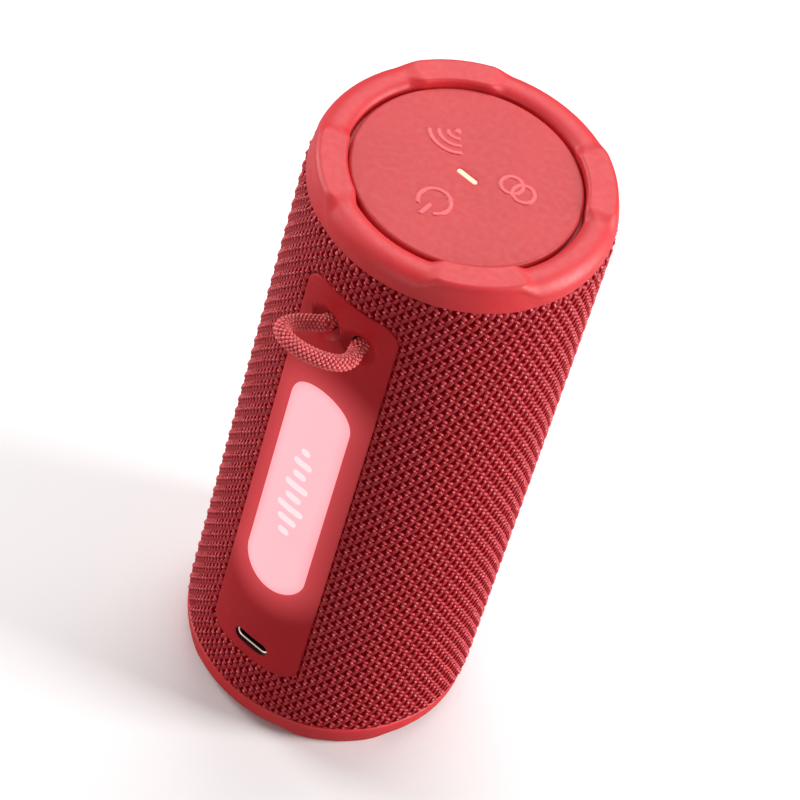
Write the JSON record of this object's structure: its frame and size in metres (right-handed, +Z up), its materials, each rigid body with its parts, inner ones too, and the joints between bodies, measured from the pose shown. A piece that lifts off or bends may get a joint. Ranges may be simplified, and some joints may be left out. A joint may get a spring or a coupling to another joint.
{
  "type": "portable cylindrical speaker",
  "caption": "Upright cylindrical speaker in knitted fabric with rubber rims, a light strip, a cord loop and push buttons, with driver, side radiators and battery inside.",
  "frame": {"origin": "centre of the plane the speaker stands on", "axes": "+Z up along the speaker's axis, -Y towards the light strip with the cord loop and charging socket, +Y towards the driver and the front buttons"},
  "size_m": [0.067, 0.0802, 0.1616],
  "materials": {
    "coral_rubber": "satin",
    "knit": "matte",
    "braided_cord": "matte",
    "strip_red": "satin",
    "lit_diffuser": "satin",
    "black_plastic": "matte",
    "black_rubber": "matte",
    "steel": "satin",
    "board": "satin",
    "cell_wrap": "gloss",
    "paper_cone": "matte",
    "damper_cloth": "matte",
    "copper_wire": "satin"
  },
  "bodies": {
    "body": {"enclosure": "black_plastic", "top_end_frame": "black_plastic", "bottom_end_frame": "black_plastic", "top_seal_ring": "black_rubber", "bottom_seal_ring": "black_rubber", "grille_sleeve": "steel", "fabric_sleeve": "knit", "top_rim": "coral_rubber", "bottom_rim": "coral_rubber", "control_panel": "coral_rubber", "bottom_panel": "coral_rubber", "panel_carrier": "black_plastic", "control_board": "board", "control_switches": "steel", "status_led": "lit_diffuser", "status_light_guide": "lit_diffuser", "strip_cover": "strip_red", "light_window": "lit_diffuser", "light_board": "board", "light_leds": "lit_diffuser", "usb_socket": "steel", "usb_tongue": "black_plastic", "usb_seal": "black_rubber", "main_board": "board", "board_parts": "black_plastic", "board_screws": "steel", "battery_cell": "cell_wrap", "battery_cradle": "black_plastic", "driver_basket": "black_plastic", "driver_gasket": "black_rubber", "driver_surround": "black_rubber", "driver_damper": "damper_cloth", "motor_cup": "steel", "motor_magnet": "steel", "pole_plate": "steel", "driver_screws": "steel", "radiator_frames": "black_plastic", "radiator_surrounds": "black_rubber", "front_key_board": "board", "front_key_switches": "steel", "cord_root": "braided_cord", "cord_saddle": "black_plastic"},
    "power_key": {"power_button": "coral_rubber", "power_plunger": "steel"},
    "wireless_key": {"wireless_button": "coral_rubber", "wireless_plunger": "steel"},
    "link_key": {"link_button": "coral_rubber", "link_plunger": "steel"},
    "volume_up_key": {"volume_up_button": "coral_rubber", "volume_up_plunger": "steel"},
    "play_key": {"play_button": "coral_rubber", "play_plunger": "steel"},
    "volume_down_key": {"volume_down_button": "coral_rubber", "volume_down_plunger": "steel"},
    "cone": {"driver_cone": "paper_cone", "dust_cap": "paper_cone", "voice_coil": "copper_wire"},
    "right_radiator": {"radiator_plate_right": "paper_cone"},
    "left_radiator": {"radiator_plate_left": "paper_cone"},
    "loop": {"carry_loop": "braided_cord"}
  },
  "joints": [
    {"name": "power_press", "type": "slide", "parent": "body", "child": "power_key", "axis": [0, 0, -1], "range_m": [0, 0.0004]},
    {"name": "wireless_press", "type": "slide", "parent": "body", "child": "wireless_key", "axis": [0, 0, -1], "range_m": [0, 0.0004]},
    {"name": "link_press", "type": "slide", "parent": "body", "child": "link_key", "axis": [0, 0, -1], "range_m": [0, 0.0004]},
    {"name": "volume_up_press", "type": "slide", "parent": "body", "child": "volume_up_key", "axis": [0, -1, 0], "range_m": [0, 0.0004]},
    {"name": "play_press", "type": "slide", "parent": "body", "child": "play_key", "axis": [0, -1, 0], "range_m": [0, 0.0004]},
    {"name": "volume_down_press", "type": "slide", "parent": "body", "child": "volume_down_key", "axis": [0, -1, 0], "range_m": [0, 0.0004]},
    {"name": "cone_stroke", "type": "slide", "parent": "body", "child": "cone", "axis": [0, 1, 0], "range_m": [-0.0015, 0.0015]},
    {"name": "right_radiator_stroke", "type": "slide", "parent": "body", "child": "right_radiator", "axis": [1, 0, 0], "range_m": [-0.002, 0.002]},
    {"name": "left_radiator_stroke", "type": "slide", "parent": "body", "child": "left_radiator", "axis": [-1, 0, 0], "range_m": [-0.002, 0.002]},
    {"name": "loop_swing", "type": "hinge", "parent": "body", "child": "loop", "pos_m": [0, -0.0331, 0.1338], "axis": [-1, 0, 0], "range_deg": [-40, 45]}
  ]
}
